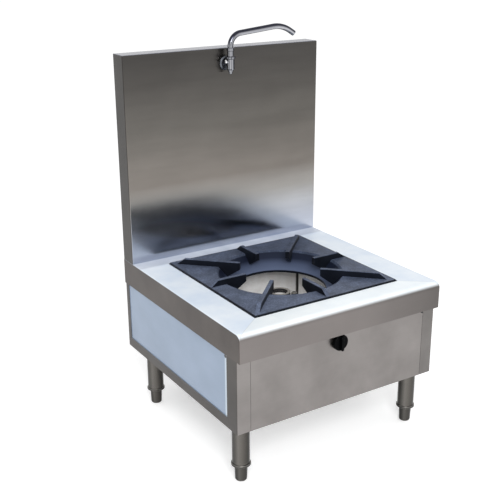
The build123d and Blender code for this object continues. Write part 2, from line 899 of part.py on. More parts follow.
def burner_head():
    """Small ring channel above the burner, on two hollow risers, as its outside and its inside."""
    centre = (0, plate_centre_y)
    floor = head_bottom + head_wall
    channel = disc(head_outer_radius, (head_bottom, head_seat), centre)
    channel = channel - disc(head_inner_radius, (head_bottom - bite, head_seat + bite), centre)
    groove = disc(head_outer_radius - head_wall, (floor, head_seat + bite), centre)
    groove = groove - disc(head_inner_radius + head_wall, (floor - bite, head_seat + 2 * bite), centre)
    for place in riser_places():
        channel = channel + disc(riser_radius, (ring_deck - bite, head_bottom + bite), place)
        riser_bore = disc(riser_radius - riser_wall, (ring_deck - burner_wall - bite, floor + bite), place)
        groove = groove + riser_bore
    return channel, groove


def mixing_tube():
    """Venturi tube with its belled mouth, as its outside and its bore."""
    start = mouth_front
    end = plate_centre_y - burner_ring_radius + burner_wall
    at = (0, mixing_tube_height)
    bell = disc_along_y(mouth_radius, (start, start + mouth_length), at)
    bell = chamfer(bell.faces().sort_by(Axis.Y)[-1].edges(), mouth_radius - mixing_tube_radius - bite)
    tube = bell + disc_along_y(mixing_tube_radius, (start + mouth_length, end), at)
    inside = start + mouth_plate
    bore = disc_along_y(mixing_tube_radius - mixing_tube_wall, (inside, end + burner_wall), at)
    bore = bore + disc_along_y(mouth_radius - mixing_tube_wall, (inside, start + mouth_length / 2), at)
    return tube, bore


def burner_ear(place):
    """Flat ear with its bolt hole's boss, cast on the foot of the ring."""
    height = (burner_base_height, burner_base_height + ear_thickness)
    y_span = (place[1] - ear_radius, place[1] + ear_radius)
    inner = burner_centre_radius if place[0] > 0 else -burner_centre_radius
    return disc(ear_radius, height, place) + block(sorted((inner, place[0])), y_span, height)


def round_the_centre(shape, count):
    """Equal copies of one shape, spaced round the burner's upright axis."""
    return [Pos(0, plate_centre_y, 0) * Rot(0, 0, 360 / count * index) * shape for index in range(count)]


def make_burner_body():
    """Cast burner: ported ring, centre head on two risers, bolt ears and the mixing tube."""
    ring, cavity = burner_ring()
    head, groove = burner_head()
    tube, bore = mixing_tube()
    body = ring + head + tube + [burner_ear(place) for place in ear_places()]
    centre_z = (burner_base_height - bite, head_bottom - bite)
    ear_z = (burner_base_height - bite, burner_base_height + ear_thickness + bite)
    body = body - disc(burner_centre_radius, centre_z, (0, plate_centre_y))
    ear_holes = [disc(burner_bolt_radius + weld_gap, ear_z, place) for place in ear_places()]
    port_circle = burner_ring_radius - ring_crown_bevel - ring_land_width / 2
    port = disc(port_radius, (ring_top - 2 * burner_wall, ring_top + bite), (port_circle, 0))
    ports = round_the_centre(port, port_count)
    air = air_openings(mouth_front - bite, mouth_front + mouth_plate + bite)
    return body - cavity - groove - bore - ear_holes - ports - air


def air_openings(y_low, y_high):
    """The mouth's air holes round the injector's own hole."""
    step = 360 / air_holes
    places = [
        (
            air_hole_circle * cos(radians(90 + step * index)),
            mixing_tube_height + air_hole_circle * sin(radians(90 + step * index)),
        )
        for index in range(air_holes)
    ]
    holes = [disc_along_y(air_hole_radius, (y_low, y_high), at) for at in places]
    return holes + [disc_along_y(injector_radius + hole_gap, (y_low, y_high), (0, mixing_tube_height))]


def make_burner_cap():
    """Lift-off ring that closes the head's channel, with flame slots round its outer edge."""
    seat = head_seat + lift_gap
    inner = head_inner_radius
    outer = head_outer_radius
    lip_inner = inner + head_wall + lift_gap
    lip_outer = outer - head_wall - lift_gap
    outline = [
        (inner, seat),
        (lip_inner, seat),
        (lip_inner, seat - cap_lip),
        (lip_outer, seat - cap_lip),
        (lip_outer, seat),
        (outer, seat),
        (outer, cap_top - cap_bevel),
        (outer - cap_bevel, cap_top),
        (inner + cap_bevel, cap_top),
        (inner, cap_top - cap_bevel),
    ]
    cap = revolved(outline, (0, plate_centre_y))
    slot = block(
        (outer - cap_slot_depth, outer + cap_slot_depth),
        (-cap_slot_width / 2, cap_slot_width / 2),
        (seat, seat + cap_slot_height),
    )
    return cap - round_the_centre(slot, cap_slots)


def hexagon_upright(radius, z, at):
    """An upright hexagonal bar between two heights, with the given corner radius."""
    return Pos(at[0], at[1], z[0]) * extrude(RegularPolygon(radius, 6), z[1] - z[0])


def make_burner_bolt(place):
    """Bolt through an ear and its bar, with the nut below."""
    seat = burner_base_height + ear_thickness + seat_gap
    bottom = burner_base_height - cross_bar_thickness - burner_bolt_reach
    nut_top = burner_base_height - cross_bar_thickness - 2 * seat_gap
    head = hexagon_upright(bolt_head_radius, (seat, seat + bolt_head_height), place)
    nut = hexagon_upright(bolt_head_radius, (nut_top - bolt_head_height, nut_top), place)
    return head + disc(burner_bolt_radius, (bottom, seat), place) + nut


def make_air_shutter():
    """Disc that turns on the injector and closes the mouth's air holes."""
    y_span = (shutter_rear - shutter_thickness, shutter_rear)
    cut_y = (y_span[0] - bite, y_span[1] + bite)
    at = (0, mixing_tube_height)
    half_tab = shutter_tab_width / 2
    tab_z = (mixing_tube_height - half_tab, mixing_tube_height + half_tab)
    tab = block((mouth_radius - 2 * bite, mouth_radius + shutter_tab), y_span, tab_z)
    windows = air_openings(*cut_y)[:-1]
    bore = disc_along_y(injector_radius + running_gap, cut_y, at)
    return disc_along_y(mouth_radius, y_span, at) + tab - windows - bore


def make_injector():
    """Gas jet: hexagon on the holder, round nose through the shutter into the mouth."""
    at = (0, mixing_tube_height)
    start = holder_rear + seat_gap
    tip = mouth_front + mouth_plate
    body = hexagon_along_y(injector_hex_radius, (start, start + injector_hex_length), at)
    nose = disc_along_y(injector_radius, (start, tip), at)
    nose = chamfer(nose.faces().sort_by(Axis.Y)[-1].edges(), injector_tip_bevel)
    return body + nose - disc_along_y(injector_bore, (start - bite, tip + bite), at)


def make_injector_holder():
    """Brass block that turns the gas from the valve's outlet pipe into the injector."""
    half = holder_size / 2
    solid = block(
        (knob_x - half, half),
        (holder_rear - holder_depth, holder_rear),
        (mixing_tube_height - half, mixing_tube_height + half),
    )
    solid = fillet(solid.edges().filter_by(Axis.Y), holder_round)
    bore_y = (holder_rear - holder_depth / 2, holder_rear + bite)
    return solid - disc_along_y(holder_bore_radius, bore_y, (0, mixing_tube_height))


def make_outlet_pipe():
    """Short upright pipe from the valve's outlet down to the injector holder."""
    top = knob_z - outlet_boss_drop - seat_gap
    bottom = mixing_tube_height + holder_size / 2 + seat_gap
    pipe_wall = disc(outlet_pipe_radius, (bottom, top), outlet_place)
    return pipe_wall - disc(outlet_pipe_radius - outlet_pipe_wall, (bottom - bite, top + bite), outlet_place)


def make_valve_body():
    """Gas valve: round body on the panel's back, with inlet, outlet and pilot bosses."""
    at = (knob_x, knob_z)
    body = disc_along_y(valve_radius, (valve_front, valve_front + valve_length), at)
    flange = disc_along_y(valve_flange_radius, (valve_front, valve_front + valve_flange), at)
    inlet = disc_along_x(valve_boss_radius, (knob_x, knob_x + valve_boss_length), (valve_middle_y, knob_z))
    outlet = disc(outlet_boss_radius, (knob_z - outlet_boss_drop, knob_z), outlet_place)
    pilot = disc(pilot_boss_radius, (knob_z, knob_z + pilot_boss_rise), (knob_x, valve_middle_y))
    plug_y = (valve_front - bite, valve_front + plug_length + lift_gap)
    return body + flange + inlet + outlet + pilot - disc_along_y(plug_radius + running_gap, plug_y, at)


def stem_profile(clearance):
    """The stem's section, round with one flat."""
    radius = stem_radius + clearance
    flat = stem_flat + clearance
    round_part = Circle(radius)
    cut = Pos(0, flat + radius) * Rectangle(radius * 4, radius * 2)
    return round_part - cut


def stem_bar(y, clearance):
    """A bar of the stem's section between two values of Y."""
    face = Plane(origin=(knob_x, y[0], knob_z), x_dir=(1, 0, 0), z_dir=(0, 1, 0)) * stem_profile(clearance)
    return extrude(face, y[1] - y[0])


def make_valve_plug():
    """Turning core of the valve; the stem slides in its flatted bore."""
    y_span = (valve_front + lift_gap, valve_front + plug_length)
    plug = disc_along_y(plug_radius, y_span, (knob_x, knob_z))
    return plug - stem_bar((y_span[0] - bite, y_span[1] + bite), running_gap)


def make_stem():
    """Stem from the knob into the valve's core."""
    return stem_bar((knob_back - knob_skirt + bite, valve_front + plug_length - stem_end_gap), 0)


def make_knob():
    """Round skirt with a raised, tapered grip across its face."""
    face_y = knob_back - knob_skirt
    at = (knob_x, knob_z)
    skirt = disc_along_y(knob_radius, (face_y, knob_back), at)
    skirt = chamfer(skirt.faces().sort_by(Axis.Y)[0].edges(), knob_bevel)
    base = Plane(origin=(knob_x, face_y + bite, knob_z), x_dir=(1, 0, 0), z_dir=(0, -1, 0))
    grip_face = base * SlotOverall(grip_length, grip_width, rotation=90)
    grip = extrude(grip_face, grip_depth + bite, taper=grip_taper)
    grip = chamfer(grip.faces().sort_by(Axis.Y)[0].edges(), knob_bevel)
    stem_bore = stem_bar((face_y + bite, knob_back + bite), running_gap / 2)
    hollow_y = (knob_back - knob_wall, knob_back + bite)
    hub_y = (hollow_y[0] - bite, hollow_y[1] + bite)
    hollow = disc_along_y(knob_radius - knob_wall, hollow_y, at) - disc_along_y(knob_hub_radius, hub_y, at)
    return skirt + grip - stem_bore - hollow


def make_pilot():
    """Pilot burner: a bent tube from the valve to a small head beside the centre head."""
    start_z = knob_z + pilot_boss_rise + seat_gap
    rise = start_z + 2 * pilot_bend
    head_bottom_z = pilot_top - pilot_head_height
    points = [
        (knob_x, valve_middle_y, start_z),
        (knob_x, valve_middle_y, rise),
        (pilot_x, valve_middle_y + pilot_jog, rise),
        (pilot_x, liner_front - pilot_wall_gap, pilot_run_height),
        (pilot_x, pilot_y, pilot_run_height),
        (pilot_x, pilot_y, head_bottom_z),
    ]
    tube = pipe(points, pilot_bend, pilot_tube_radius)
    head = disc(pilot_head_radius, (head_bottom_z, pilot_top), (pilot_x, pilot_y))
    head = chamfer(head.faces().sort_by(Axis.Z)[-1].edges(), pilot_head_bevel)
    port = disc(pilot_port_radius, (pilot_top - pilot_port_depth, pilot_top + bite), (pilot_x, pilot_y))
    return tube + head - port


def make_gas_pipe():
    """Supply pipe along the right side, then across behind the front panel to the valve."""
    start = (gas_pipe_x, gas_pipe_end, knob_z)
    corner = (gas_pipe_x, valve_middle_y, knob_z)
    end = (knob_x + valve_boss_length + seat_gap, valve_middle_y, knob_z)
    return pipe([start, corner, end], gas_pipe_bend, gas_pipe_radius, gas_pipe_bore)


def make_gas_union():
    """Rear union: a hexagon on the pipe's end and the male half-inch thread."""
    at = (gas_pipe_x, knob_z)
    start = gas_pipe_end + seat_gap
    end = start + union_hex_length + gas_thread_length
    hexagon = hexagon_along_y(union_hex_radius, (start, start + union_hex_length), at)
    thread = disc_along_y(thread_radius, (start, end), at)
    thread = chamfer(thread.faces().sort_by(Axis.Y)[-1].edges(), thread_bevel)
    return hexagon + thread - disc_along_y(gas_union_bore, (start - bite, end + bite), at)


def make_gas_clip(y):
    """Band round the gas pipe with a foot on the firebox wall."""
    y_span = (y - clip_width / 2, y + clip_width / 2)
    cut_y = (y_span[0] - bite, y_span[1] + bite)
    at = (gas_pipe_x, knob_z)
    inner = gas_pipe_radius + seat_gap
    foot_x = liner_half + seat_gap
    arm = block((foot_x, gas_pipe_x), y_span, (knob_z - clip_sheet / 2, knob_z + clip_sheet / 2))
    foot = block((foot_x, foot_x + clip_sheet), y_span, (knob_z - clip_width, knob_z + clip_width))
    band = disc_along_y(inner + clip_sheet, y_span, at)
    return arm + foot + band - disc_along_y(inner, cut_y, at)


def make_water_clip():
    """Band round the water pipe with a foot on the rear upper rail's flange."""
    top = upper_rail_bottom - seat_gap
    z_span = (top - clip_width, top)
    at = (0, water_pipe_y)
    inner = water_pipe_radius + seat_gap
    foot_y = (water_pipe_y, post_rear_inner - weld_gap - rail_sheet)
    foot = block((-clip_width, clip_width), foot_y, (top - clip_sheet, top))
    band = disc(inner + clip_sheet, z_span, at)
    return band + foot - disc(inner, (z_span[0] - bite, z_span[1] + bite), at)


def make_water_pipe():
    """Pipe from the inlet union up to the elbow behind the tap."""
    bottom = water_inlet_bottom + water_thread_length + union_hex_length + seat_gap
    top = tap_tail_height - elbow_rise - seat_gap
    at = (0, water_pipe_y)
    return disc(water_pipe_radius, (bottom, top), at) - disc(water_pipe_bore, (bottom - bite, top + bite), at)


def make_water_union():
    """Water inlet under the body: male half-inch thread, pointing down."""
    at = (0, water_pipe_y)
    hex_bottom = water_inlet_bottom + water_thread_length
    hex_top = hex_bottom + union_hex_length
    hexagon = hexagon_upright(union_hex_radius, (hex_bottom, hex_top), at)
    thread = disc(thread_radius, (water_inlet_bottom, hex_bottom + bite), at)
    thread = chamfer(thread.faces().sort_by(Axis.Z)[0].edges(), thread_bevel)
    return hexagon + thread - disc(water_pipe_bore, (water_inlet_bottom - bite, hex_top + bite), at)


def make_tap_elbow():
    """Elbow inside the splashback, from the water pipe to the tap's tail."""
    at = (0, water_pipe_y)
    upright = disc(elbow_radius, (tap_tail_height - elbow_rise, tap_tail_height + elbow_radius), at)
    upright = chamfer(upright.faces().sort_by(Axis.Z)[-1].edges(), elbow_bevel)
    level_y = (tap_tail_rear + seat_gap, water_pipe_y)
    return upright + disc_along_y(elbow_radius - bite, level_y, (0, tap_tail_height))


def make_tap_tail():
    """Threaded tail that carries the tap through the splashback's front sheet."""
    at = (0, tap_tail_height)
    tail = disc_along_y(tap_tail_radius, (tap_y + tap_body_radius + bite, tap_tail_rear), at)
    return tail - disc_along_y(tap_tail_radius - tap_tail_wall, (tap_y, tap_tail_rear + bite), at)


def make_lock_nut():
    """Nut that clamps the tap's tail from behind the front sheet."""
    start = splash_front + splash_sheet + seat_gap
    end = start + lock_nut_thickness
    at = (0, tap_tail_height)
    nut = hexagon_along_y(lock_nut_hex_radius, (start, end), at)
    return nut - disc_along_y(tap_tail_radius + running_gap, (start - bite, end + bite), at)


def make_rosette():
    """Round cover plate between the tap and the splashback."""
    rear = splash_front - seat_gap
    front = rear - rosette_thickness
    at = (0, tap_tail_height)
    plate = disc_along_y(rosette_radius, (front, rear), at)
    plate = chamfer(plate.faces().sort_by(Axis.Y)[0].edges(), rosette_bevel)
    return plate - disc_along_y(tap_tail_radius + running_gap, (front - bite, rear + bite), at)


def make_tap_body():
    """Upright tap body with its collar, neck, wall boss and side boss."""
    body = tap_body_radius
    outline = [
        (0, tap_body_bottom),
        (body - tap_body_bevel, tap_body_bottom),
        (body, tap_body_bottom + tap_body_bevel * 1.5),
        (body, tap_flange_bottom - tap_body_bevel * 1.5),
        (tap_flange_radius, tap_flange_bottom),
        (tap_flange_radius, tap_flange_top - bite),
        (tap_flange_radius - bite, tap_flange_top),
        (tap_neck_radius, tap_flange_top + 1.5 * bite),
        (tap_neck_radius, tap_neck_top),
        (0, tap_neck_top),
    ]
    turned = revolved(outline, (0, tap_y))
    wall_boss_y = (tap_y + body / 3, tap_y + tap_boss_end)
    wall_boss = disc_along_y(tap_boss_radius, wall_boss_y, (0, tap_tail_height))
    side_boss_x = (-body - side_boss_length, -body * 0.75)
    side_boss = disc_along_x(side_boss_radius, side_boss_x, (tap_y, tap_tail_height + side_boss_rise))
    bore_z = (spout_bottom - spout_stem_length - 3 * bite, tap_neck_top + bite)
    return turned + wall_boss + side_boss - disc(spout_stem_radius + running_gap, bore_z, (0, tap_y))


def make_gland_nut():
    """Nut over the neck that holds the swivel spout's stem."""
    nut = disc(gland_radius, (gland_bottom, gland_top), (0, tap_y))
    nut = chamfer(nut.edges().filter_by(GeomType.CIRCLE), gland_bevel)
    return nut - disc(spout_stem_radius + running_gap, (gland_bottom - bite, gland_top + bite), (0, tap_y))


def make_side_plug():
    """Domed plug in the tap body's side boss."""
    start = -tap_body_radius - side_boss_length - seat_gap
    at = (tap_y, tap_tail_height + side_boss_rise)
    plug = disc_along_x(plug_cap_radius, (start - plug_cap_length, start), at)
    return chamfer(plug.faces().sort_by(Axis.X)[0].edges(), plug_cap_length / 2)


def make_bottom_cap():
    """Stepped cap that closes the tap body from below."""
    top = tap_body_bottom - seat_gap
    low = top - bottom_cap_length
    tip = bottom_cap_radius - bottom_cap_step
    outline = [
        (0, top),
        (bottom_cap_radius, top),
        (bottom_cap_radius, top - bottom_cap_rim),
        (tip, top - bottom_cap_rim - bite),
        (tip, low + bite),
        (tip - bite, low),
        (0, low),
    ]
    return revolved(outline, (0, tap_y))


def make_spout():
    """Swivel spout: a riser, a long gently rising run and a turned-down end."""
    corner_z = spout_bottom + spout_rise
    end_z = corner_z + spout_run_rise
    stem_bottom = spout_bottom - spout_stem_length
    plug_top = spout_bottom + spout_plug_length
    points = [
        (0, tap_y, spout_bottom),
        (0, tap_y, corner_z),
        (spout_run, tap_y, end_z),
        (spout_run + spout_tip_run, tap_y, end_z - spout_tip_drop),
    ]
    path = FilletPolyline(*points, radius=[spout_base_bend, spout_tip_bend])
    section = Plane(origin=path @ 0, z_dir=path % 0)
    tube = sweep(section * Circle(spout_radius), path)
    tube = tube - sweep(section * Circle(spout_radius - spout_wall), path)
    stem = disc(spout_stem_radius, (stem_bottom, plug_top), (0, tap_y))
    plug = disc(spout_radius - spout_wall / 2, (spout_bottom, plug_top), (0, tap_y))
    waterway = disc(spout_stem_bore, (stem_bottom - bite, plug_top + bite), (0, tap_y))
    return tube + stem + plug - waterway


def leg_places():
    """X and Y of the four legs, front pair first."""
    return [(x, y) for y in (leg_front_y, leg_rear_y) for x in (-leg_x, leg_x)]


def make_leg_plate(x, y):
    """Plate on the rails' flanges at one corner, with the leg under it."""
    side = 1 if x > 0 else -1
    x_span = (side * rail_outer, side * (rail_outer - leg_plate_width))
    if y < 0:
        edge = rail_front + rail_sheet + weld_gap
        y_span = (edge, edge + leg_plate_depth)
    else:
        y_span = (rail_rear - leg_plate_depth, rail_rear)
    return block(x_span, y_span, (leg_plate_top - leg_plate_thickness, leg_plate_top))


def make_leg_tube(x, y):
    """Round leg between the insert's flange and its plate."""
    tube = disc(leg_radius, (tube_bottom + seat_gap, leg_top - seat_gap), (x, y))
    return tube - disc(leg_radius - leg_wall, (tube_bottom, leg_top), (x, y))


def make_leg_insert(x, y):
    """Threaded insert in the leg's end, with a flange that covers the tube's edge."""
    insert_top = tube_bottom + insert_depth
    flange = disc(insert_flange_radius, (foot_height, tube_bottom), (x, y))
    flange = chamfer(flange.edges().filter_by(GeomType.CIRCLE), insert_bevel)
    plug = disc(leg_radius - leg_wall - running_gap, (tube_bottom - bite, insert_top), (x, y))
    bore_z = (foot_height - bite, insert_top + bite)
    return flange + plug - disc(foot_stud_radius + running_gap, bore_z, (x, y))


def make_foot(x, y):
    """Round foot, slightly tapered, on its stud; it screws in and out of the leg's insert."""
    top = foot_height - lift_gap
    outline = [
        (0, 0),
        (foot_bottom_radius - foot_round, 0),
        (foot_bottom_radius - foot_round * 0.3, foot_round * 0.3),
        (foot_bottom_radius, foot_round),
        (foot_top_radius, top - foot_top_bevel),
        (foot_top_radius - foot_top_bevel, top),
        (0, top),
    ]
    return revolved(outline, (x, y)) + disc(foot_stud_radius, (top - bite, top + foot_stud_length), (x, y))


def write_body():
    """Sheet-steel body: worktop, splashback, posts, rails and panels."""
    save("worktop", make_worktop())
    save("splash_shell", make_splash_shell())
    save("splash_rear_cover", make_splash_cover())
    save("splash_cover_screws", *[screw(x, z, cover_rear + running_gap) for x, z in cover_screw_places()])
    for side, name in ((-1, "left"), (1, "right")):
        save(f"front_{name}_post", make_front_post(side))
        save(f"rear_{name}_post", make_rear_post(side))
        save(f"{name}_bottom_rail", make_side_bottom_rail(side))
        save(f"{name}_upper_rail", make_side_upper_rail(side))
        save(f"{name}_side_panel", make_side_panel(side))
    save("front_bottom_rail", make_front_bottom_rail())
    save("rear_bottom_rail", make_rear_bottom_rail())
    save("front_upper_rail", make_cross_upper_rail(rail_front, 1))
    save("rear_upper_rail", make_cross_upper_rail(rail_rear, -1))
    save("cross_support_rails", make_cross_support_rail(-1), make_cross_support_rail(1))
    save("side_support_rails", make_side_support_rail(-1), make_side_support_rail(1))
    save("front_panel", make_front_panel())
    save("rear_panel", make_rear_panel())
    save("rear_panel_screws", *[screw(x, z, body_rear + running_gap) for x, z in rear_screw_places()])


def write_hearth():
    """Pan support, firebox and burner."""
    save("pan_support", make_pan_support())
    save("firebox_liner", make_liner())
    save("spill_tray", make_spill_tray())
    save("burner_cross_bars", *[make_cross_bar(y) for y in cross_bar_places()])
    save("burner_body", make_burner_body())
    save("burner_cap", make_burner_cap())
    save("burner_bolts", *[make_burner_bolt(place) for place in ear_places()])
    save("air_shutter", make_air_shutter())
    save("pilot_burner", make_pilot())


def write_gas_line():
    """Valve, knob and the pipes that feed the burner."""
    save("injector", make_injector())
    save("injector_holder", make_injector_holder())
    save("valve_outlet_pipe", make_outlet_pipe())
    save("gas_valve_body", make_valve_body())
    save("gas_valve_plug", make_valve_plug())
    save("valve_stem", make_stem())
    save("knob", make_knob())
    save("gas_supply_pipe", make_gas_pipe())
    save("gas_inlet_union", make_gas_union())
    clips = [make_gas_clip(plate_centre_y + side * clip_distance / 2) for side in (-1, 1)]
    save("pipe_clips", *clips, make_water_clip())


def write_tap():
    """Water pipe and the swivel tap on the splashback."""
    save("water_pipe", make_water_pipe())
    save("water_inlet_union", make_water_union())
    save("tap_elbow", make_tap_elbow())
    save("tap_tail", make_tap_tail())
    save("tap_lock_nut", make_lock_nut())
    save("tap_rosette", make_rosette())
    save("tap_body", make_tap_body())
    save("tap_gland_nut", make_gland_nut())
    save("tap_side_plug", make_side_plug())
    save("tap_bottom_cap", make_bottom_cap())
    save("tap_spout", make_spout())


def write_legs():
    """Four legs with their plates, inserts and adjustable feet."""
    places = leg_places()
    save("leg_plates", *[make_leg_plate(x, y) for x, y in places])
    save("leg_tubes", *[make_leg_tube(x, y) for x, y in places])
    save("leg_inserts", *[make_leg_insert(x, y) for x, y in places])
    for (x, y), name in zip(places, ("front_left", "front_right", "rear_left", "rear_right")):
        save(f"{name}_foot", make_foot(x, y))


write_body()
write_hearth()
write_gas_line()
write_tap()
write_legs()
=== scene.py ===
import json
from math import radians

import bpy
from mathutils import Matrix, Vector


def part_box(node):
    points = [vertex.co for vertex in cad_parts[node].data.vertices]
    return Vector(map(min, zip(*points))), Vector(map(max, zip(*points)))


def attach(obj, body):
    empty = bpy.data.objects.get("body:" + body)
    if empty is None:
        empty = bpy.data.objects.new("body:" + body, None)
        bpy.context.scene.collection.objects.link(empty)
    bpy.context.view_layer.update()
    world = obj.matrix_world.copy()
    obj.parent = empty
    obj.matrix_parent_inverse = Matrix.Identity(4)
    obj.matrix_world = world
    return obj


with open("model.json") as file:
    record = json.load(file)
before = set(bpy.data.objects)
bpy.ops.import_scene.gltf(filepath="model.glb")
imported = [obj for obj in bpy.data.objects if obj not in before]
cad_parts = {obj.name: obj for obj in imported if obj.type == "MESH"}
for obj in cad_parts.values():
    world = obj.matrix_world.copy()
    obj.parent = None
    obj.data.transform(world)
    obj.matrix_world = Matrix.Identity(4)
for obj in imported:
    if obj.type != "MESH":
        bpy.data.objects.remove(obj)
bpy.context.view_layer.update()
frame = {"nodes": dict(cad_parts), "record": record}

# Places and lengths on the stove are written in millimetres, and MM turns them into metres. X runs to the
# stove's right, Y to its rear and Z up.
MM = 0.001

# The firebox and the pan support have their middle a little in front of the stove's.
FIREBOX_MIDDLE = (0.0, -20 * MM, 0.0)

# Round a bend, one face's finish, with its painted light and shade, passes into the other's while its facing
# goes through this span.
BEND = (0.25, 0.85)


def linear(hex_code):
    """Turns an sRGB hex colour into the linear colour that a shader takes."""
    channels = [int(hex_code[place:place + 2], 16) / 255 for place in (0, 2, 4)]
    return tuple(c / 12.92 if c <= 0.04045 else ((c + 0.055) / 1.055) ** 2.4 for c in channels) + (1.0,)


def add_node(tree, kind, inputs=None, **settings):
    """Adds a shader node with its settings, and gives each input the socket or the value named for it."""
    node = tree.nodes.new(kind)
    for name, value in settings.items():
        setattr(node, name, value)
    for name, source in (inputs or {}).items():
        if isinstance(source, bpy.types.NodeSocket):
            tree.links.new(source, node.inputs[name])
        else:
            node.inputs[name].default_value = source
    return node


def new_material(name, shader=None):
    """A material with its main shader, whose uniform values are set on its own sockets."""
    material = bpy.data.materials.new(name)
    material.use_nodes = True
    surface = material.node_tree.nodes["Principled BSDF"]
    for socket, value in (shader or {}).items():
        surface.inputs[socket].default_value = value
    return material, material.node_tree, surface


def stretched_noise(tree, scale, detail=4.0, roughness=0.55):
    """A 0 to 1 pattern fixed to the stove, with its cells stretched by a scale for each axis, per metre."""
    place = add_node(tree, "ShaderNodeTexCoord").outputs["Object"]
    mapping = add_node(tree, "ShaderNodeMapping", {"Vector": place, "Scale": scale}).outputs["Vector"]
    return add_node(tree, "ShaderNodeTexNoise", {
        "Vector": mapping, "Scale": 1.0, "Detail": detail, "Roughness": roughness}).outputs["Fac"]


def even_noise(tree, size, detail=3.0, roughness=0.55):
    """The same pattern with cells of one size, in millimetres, along every axis."""
    return stretched_noise(tree, (1 / (size * MM),) * 3, detail, roughness)


def toned(tree, source, dark, light):
    """A colour between two hex tones, by a 0 to 1 value."""
    ramp = add_node(tree, "ShaderNodeValToRGB", {"Fac": source})
    for point, place, tone in zip(ramp.color_ramp.elements, (0.3, 0.7), (dark, light)):
        point.position = place
        point.color = linear(tone)
    return ramp.outputs["Color"]


def tones_along(tree, source, stops, unit=MM):
    """A colour that passes through hex tones at given places, in millimetres, along a coordinate."""
    first, last = stops[0][0], stops[-1][0]
    share = add_node(tree, "ShaderNodeMapRange", {
        "Value": source, "From Min": first * unit, "From Max": last * unit}).outputs["Result"]
    ramp = add_node(tree, "ShaderNodeValToRGB", {"Fac": share})
    points = ramp.color_ramp.elements
    while len(points) < len(stops):
        points.new(0.5)
    for point, (place, tone) in zip(points, stops):
        point.position = (place - first) / (last - first)
        point.color = linear(tone)
    return ramp.outputs["Color"]


def zoned(tree, source, span, first, second):
    """A colour that passes softly from the first to the second while a value goes through a span."""
    share = add_node(tree, "ShaderNodeMapRange", {
        "Value": source, "From Min": span[0], "From Max": span[1]}, interpolation_type="SMOOTHSTEP")
    return add_node(tree, "ShaderNodeMix", {
        0: share.outputs["Result"], 6: first, 7: second}, data_type="RGBA").outputs[2]


def varied(tree, colour, source, first, second, span=None):
    """A colour made darker or paler by an amount that goes from the first to the second: evenly with a
    0 to 1 pattern, or softly while a value goes through a span."""
    low, high = span or (0.0, 1.0)
    amount = add_node(tree, "ShaderNodeMapRange", {
        "Value": source, "From Min": low, "From Max": high, "To Min": first, "To Max": second,
    }, interpolation_type="SMOOTHSTEP" if span else "LINEAR").outputs["Result"]
    return add_node(tree, "ShaderNodeMix", {
        0: 1.0, 6: colour, 7: amount}, data_type="RGBA", blend_type="MULTIPLY").outputs[2]


def roughened(tree, surface, pattern, smoothest, roughest):
    """Lets the roughness of a surface follow a 0 to 1 pattern."""
    amount = add_node(tree, "ShaderNodeMapRange", {"Value": pattern, "To Min": smoothest, "To Max": roughest})
    tree.links.new(amount.outputs["Result"], surface.inputs["Roughness"])


def coordinate(tree, axis):
    """Where a point of the surface lies along one axis of the stove, in metres."""
    place = add_node(tree, "ShaderNodeTexCoord").outputs["Object"]
    return add_node(tree, "ShaderNodeSeparateXYZ", {"Vector": place}).outputs[axis]


def from_firebox_middle(tree):
    """How far a point lies from the middle of the firebox, along each axis by itself."""
    place = add_node(tree, "ShaderNodeTexCoord").outputs["Object"]
    offset = add_node(tree, "ShaderNodeVectorMath", {0: place, 1: FIREBOX_MIDDLE}, operation="SUBTRACT")
    distance = add_node(tree, "ShaderNodeVectorMath", {0: offset.outputs["Vector"]}, operation="ABSOLUTE")
    return add_node(tree, "ShaderNodeSeparateXYZ", {"Vector": distance.outputs["Vector"]}).outputs


def pointing(tree, axis):
    """How far a surface points along an axis of the stove, from -1 to 1."""
    normal = add_node(tree, "ShaderNodeNewGeometry").outputs["Normal"]
    return add_node(tree, "ShaderNodeSeparateXYZ", {"Vector": normal}).outputs[axis]


def facing(tree, axis):
    """How squarely a surface faces an axis of the stove, from either end, 0 to 1."""
    return add_node(tree, "ShaderNodeMath", {0: pointing(tree, axis)}, operation="ABSOLUTE").outputs["Value"]


def round_upright(tree, stops):
    """Hex tones round an upright tube: -1 is its left rear, 0 its front left and 1 its right front."""
    to_right_front = (0.85, -0.53, 0.0)
    normal = add_node(tree, "ShaderNodeNewGeometry").outputs["Normal"]
    around = add_node(tree, "ShaderNodeVectorMath", {0: normal, 1: to_right_front}, operation="DOT_PRODUCT")
    return tones_along(tree, around.outputs["Value"], stops, unit=1.0)


def tube_painted_reflection(*tones):
    """A painted reflection for upright tubes: nearly black just inside each edge, and palest left of the
    middle.
    """
    places = (-1.0, -0.92, -0.7, -0.3, 0.15, 0.65, 0.9, 1.0)
    return lambda tree: round_upright(tree, tuple(zip(places, tones)))


